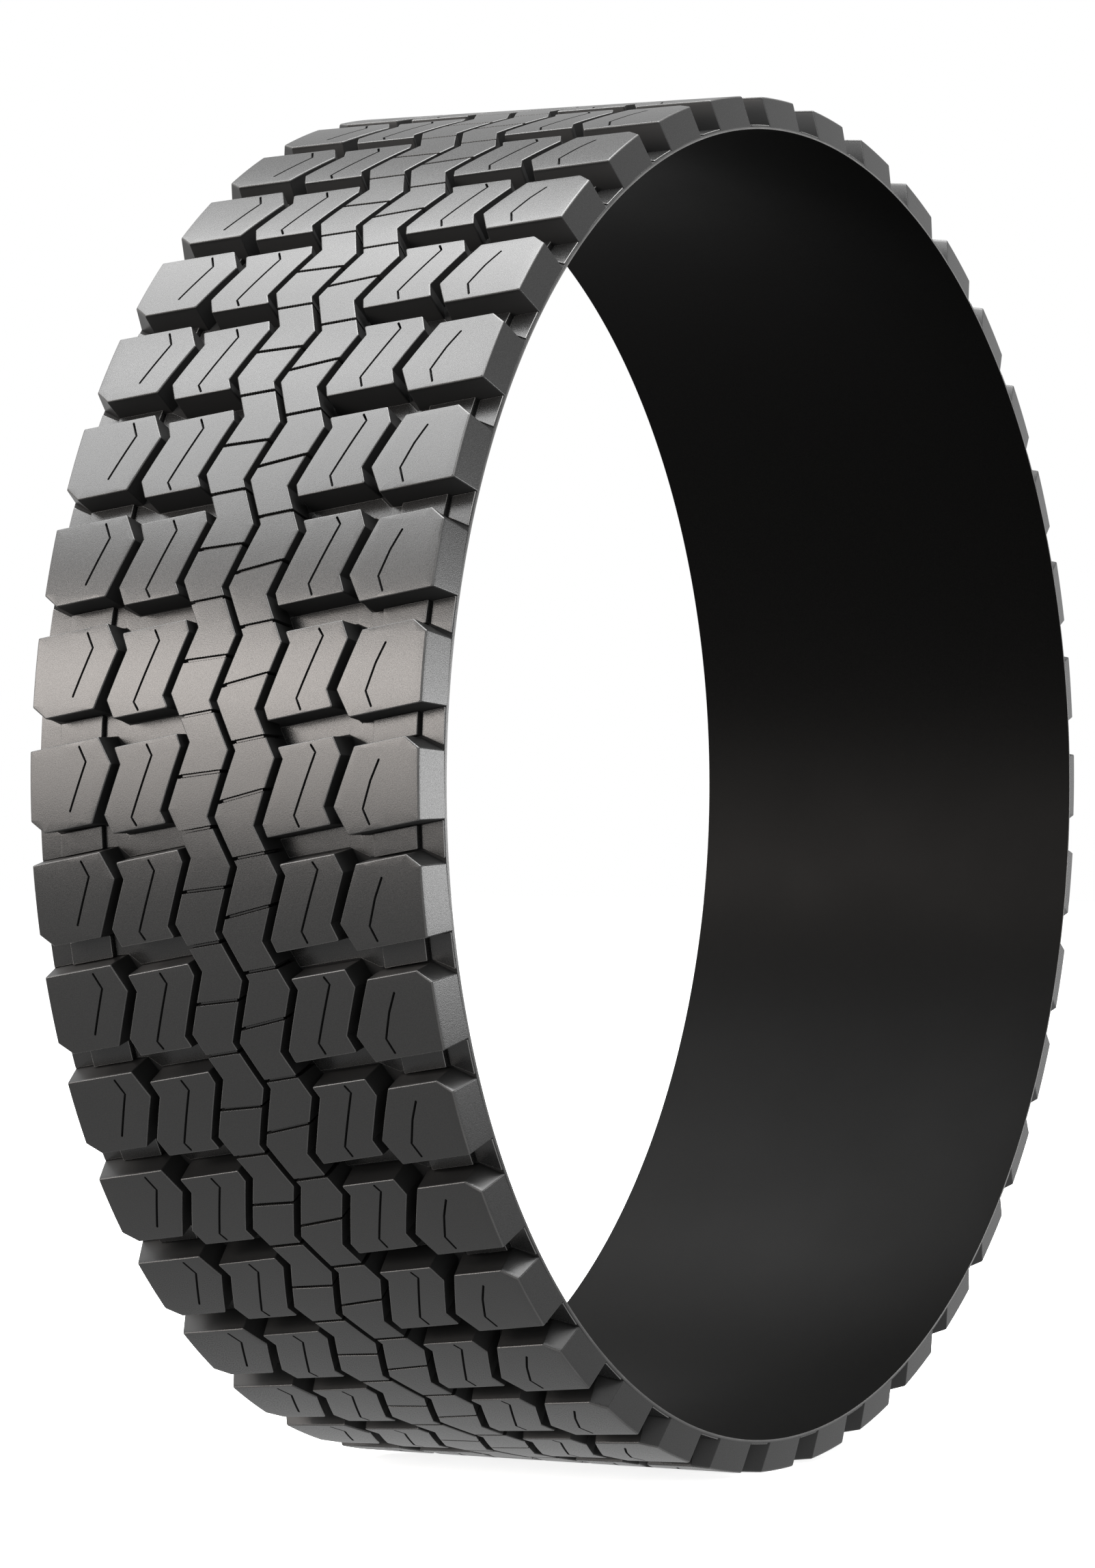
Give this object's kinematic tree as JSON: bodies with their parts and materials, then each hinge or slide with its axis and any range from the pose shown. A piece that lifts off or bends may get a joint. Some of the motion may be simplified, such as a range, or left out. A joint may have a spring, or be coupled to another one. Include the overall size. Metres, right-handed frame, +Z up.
{
  "type": "ring tread",
  "caption": "Closed rubber tread ring with a smooth bore, chevron tread blocks, zigzag centre ribs and tied shoulder blocks.",
  "frame": {"origin": "centre of the ring, on its axis, midway between its two edges", "axes": "+Y along the ring's axis, +Z up, -X towards the face of the tread where one pitch of the pattern is centred"},
  "size_m": [1.0094, 0.33, 1.0094],
  "materials": {
    "tread_rubber": "moulded carbon-black tread rubber with a fine satin grain",
    "cushion_rubber": "smooth near-black bonding rubber"
  },
  "bodies": {
    "root": {"cushion_gum_layer": "cushion_rubber", "base_band": "tread_rubber", "left_shoulder_blocks": "tread_rubber", "left_inner_blocks": "tread_rubber", "left_centre_rib": "tread_rubber", "right_centre_rib": "tread_rubber", "right_inner_blocks": "tread_rubber", "right_shoulder_blocks": "tread_rubber", "left_shoulder_tie_bars": "tread_rubber", "right_shoulder_tie_bars": "tread_rubber", "left_groove_floor_pads": "tread_rubber", "right_groove_floor_pads": "tread_rubber", "left_edge_plates": "tread_rubber", "right_edge_plates": "tread_rubber"}
  },
  "joints": []
}
